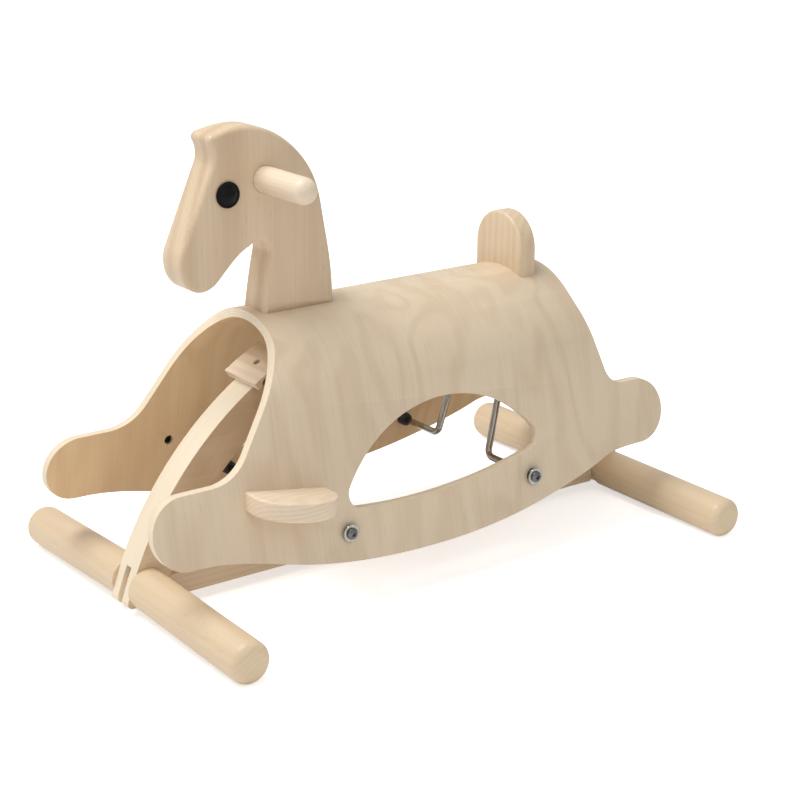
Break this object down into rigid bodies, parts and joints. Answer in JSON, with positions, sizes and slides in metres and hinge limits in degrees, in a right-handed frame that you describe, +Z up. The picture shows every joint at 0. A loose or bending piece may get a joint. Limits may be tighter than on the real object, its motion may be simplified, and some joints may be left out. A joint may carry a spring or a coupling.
{
  "type": "rocking horse",
  "caption": "Gliding rocking horse for a small child: a bent plywood saddle with head, handle peg, footrests and backrest, hung by steel swing rods from an arched floor frame.",
  "frame": {"origin": "on the floor, in the middle plane, midway between the two floor bars", "axes": "+Z up, -Y towards the horse's head, +X to the horse's left side"},
  "size_m": [0.4004, 0.6376, 0.4458],
  "materials": {
    "arch_ply": "clear lacquered laminated wood",
    "beam_wood": "clear lacquered solid wood",
    "bar_wood": "clear lacquered turned wood",
    "cap_wood": "clear lacquered wood",
    "shell_ply": "clear lacquered plywood with layered edges",
    "head_wood": "clear lacquered board",
    "peg_wood": "clear lacquered turned wood",
    "rod_steel": "polished",
    "zinc_steel": "zinc plated",
    "bush_plastic": "black, satin",
    "eye_black": "black, glossy"
  },
  "bodies": {
    "base": {"arch_frame": "arch_ply", "base_beam": "beam_wood", "front_bar_left": "bar_wood", "front_bar_right": "bar_wood", "rear_bar_left": "bar_wood", "rear_bar_right": "bar_wood", "front_bar_stud": "zinc_steel", "rear_bar_stud": "zinc_steel", "front_rod_cap": "cap_wood", "rear_rod_cap": "cap_wood", "front_rod_sleeve": "bush_plastic", "rear_rod_sleeve": "bush_plastic", "cap_screws": "zinc_steel"},
    "front_link": {"front_swing_rod": "rod_steel", "front_rod_collars": "bush_plastic", "front_rod_washers": "rod_steel", "front_rod_screws": "zinc_steel"},
    "rear_link": {"rear_swing_rod": "rod_steel", "rear_rod_collars": "bush_plastic", "rear_rod_washers": "rod_steel", "rear_rod_screws": "zinc_steel"},
    "saddle": {"saddle_shell": "shell_ply", "front_wall_bushes": "bush_plastic", "rear_wall_bushes": "bush_plastic", "head": "head_wood", "handle_peg": "peg_wood", "eye_left": "eye_black", "eye_right": "eye_black", "head_dowels": "bar_wood", "head_screws": "zinc_steel", "backrest": "head_wood", "backrest_screws": "zinc_steel", "footrest_left": "peg_wood", "footrest_right": "peg_wood", "footrest_screws": "zinc_steel"}
  },
  "joints": [
    {"name": "front_rod_swing", "type": "hinge", "parent": "base", "child": "front_link", "pos_m": [0, -0.1585, 0.205], "axis": [1, 0, 0], "range_deg": [-10, 10]},
    {"name": "saddle_pivot", "type": "hinge", "parent": "front_link", "child": "saddle", "pos_m": [0, -0.127, 0.0765], "axis": [1, 0, 0], "range_deg": [-13.5, 13.5]},
    {"name": "rear_rod_swing", "type": "hinge", "parent": "base", "child": "rear_link", "pos_m": [0, 0.132, 0.2195], "axis": [1, 0, 0], "range_deg": [-10, 10]}
  ],
  "couplings": [
    {"joint": "saddle_pivot", "follows": "front_rod_swing", "ratio": -1.2938},
    {"joint": "rear_rod_swing", "follows": "front_rod_swing", "ratio": 0.9643}
  ]
}
